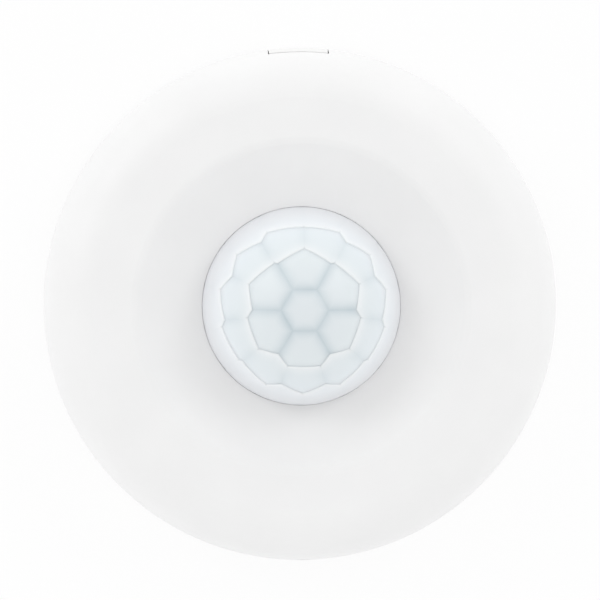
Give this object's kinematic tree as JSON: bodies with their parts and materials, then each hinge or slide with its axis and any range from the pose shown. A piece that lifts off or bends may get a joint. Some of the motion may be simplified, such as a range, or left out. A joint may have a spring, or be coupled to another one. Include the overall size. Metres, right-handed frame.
{
  "type": "motion sensor",
  "caption": "Round ceiling motion sensor: domed faceted lens in a dished white cover, hinged on a rear tray with circuit board, battery, latch and tamper switch.",
  "frame": {"origin": "centre of the round mounting face, which lies against the ceiling", "axes": "+Z from the mounting face into the room through the top of the dome; +Y to the cover's hinge; +X to the right when the sensor is seen from the room with its hinge at the top"},
  "size_m": [0.11, 0.11, 0.0428],
  "materials": {
    "cover_plastic": "fine satin moulded ABS, off-white",
    "base_plastic": "satin moulded ABS, off-white",
    "lens_polymer": "thin translucent polyethylene with a faceted inner side",
    "dark_plastic": "black moulded plastic",
    "white_plastic": "white moulded plastic",
    "board_laminate": "green solder mask on glass-fibre laminate",
    "steel": "bright plated steel",
    "can_metal": "nickel-plated can",
    "copper": "enamelled copper wire",
    "chip_black": "black moulding compound",
    "chip_ceramic": "ceramic chips with tinned ends",
    "capacitor_can": "plain aluminium can",
    "led_resin": "tinted clear resin",
    "filter_glass": "dark infrared filter",
    "cell_sleeve": "plain shrink sleeve",
    "solder": "bright solder"
  },
  "bodies": {
    "base": {"base_housing": "base_plastic", "hinge_pin": "steel", "main_board": "board_laminate", "board_screws": "steel", "sensor_can": "can_metal", "sensor_window": "filter_glass", "sensor_pins": "steel", "sensor_collar": "dark_plastic", "status_led": "led_resin", "microcontroller": "chip_black", "radio_shield": "can_metal", "crystal": "can_metal", "chip_resistors": "chip_ceramic", "storage_capacitor": "capacitor_can", "filter_capacitor": "capacitor_can", "coil_antenna": "copper", "tamper_switch_case": "dark_plastic", "button_case": "dark_plastic", "setting_switch_case": "dark_plastic", "battery_cell": "cell_sleeve", "battery_positive_end": "steel", "positive_contact": "steel", "negative_contact": "steel", "contact_spring": "steel", "solder_joints": "solder"},
    "cover": {"front_cover": "cover_plastic", "dome_lens": "lens_polymer", "lens_retainer": "dark_plastic", "retainer_screws": "steel"},
    "latch": {"latch_finger": "base_plastic"},
    "tamper_lever": {"tamper_lever": "steel"},
    "tamper_plunger": {"tamper_plunger": "white_plastic"},
    "learn_button": {"learn_button": "white_plastic"},
    "setting_slider_1": {"setting_slider_1": "white_plastic"},
    "setting_slider_2": {"setting_slider_2": "white_plastic"},
    "setting_slider_3": {"setting_slider_3": "white_plastic"}
  },
  "joints": [
    {"name": "cover_hinge", "type": "hinge", "parent": "base", "child": "cover", "pos_m": [0, 0.0521, 0.0033], "axis": [-1, 0, 0], "range_deg": [0, 90]},
    {"name": "latch_flex", "type": "hinge", "parent": "base", "child": "latch", "pos_m": [0, -0.0503, 0.0034], "axis": [-1, 0, 0], "range_deg": [0, 6], "stiffness_Nm_per_rad": 0.4},
    {"name": "tamper_lever_swing", "type": "hinge", "parent": "base", "child": "tamper_lever", "pos_m": [0.031, -0.002, 0.02035], "axis": [1, 0, 0], "range_deg": [0, 12]},
    {"name": "tamper_plunger_slide", "type": "slide", "parent": "base", "child": "tamper_plunger", "axis": [0, 0, 1], "range_m": [0, 0.0006]},
    {"name": "learn_button_press", "type": "slide", "parent": "base", "child": "learn_button", "axis": [0, 0, -1], "range_m": [0, 0.00025], "stiffness_N_per_m": 400},
    {"name": "setting_slide_1", "type": "slide", "parent": "base", "child": "setting_slider_1", "axis": [0, 1, 0], "range_m": [0, 0.0018]},
    {"name": "setting_slide_2", "type": "slide", "parent": "base", "child": "setting_slider_2", "axis": [0, 1, 0], "range_m": [0, 0.0018]},
    {"name": "setting_slide_3", "type": "slide", "parent": "base", "child": "setting_slider_3", "axis": [0, 1, 0], "range_m": [0, 0.0018]}
  ],
  "couplings": [
    {"joint": "tamper_lever_swing", "follows": "cover_hinge", "ratio": 0.13332},
    {"joint": "tamper_plunger_slide", "follows": "cover_hinge", "m_per_rad": 0.00038}
  ]
}
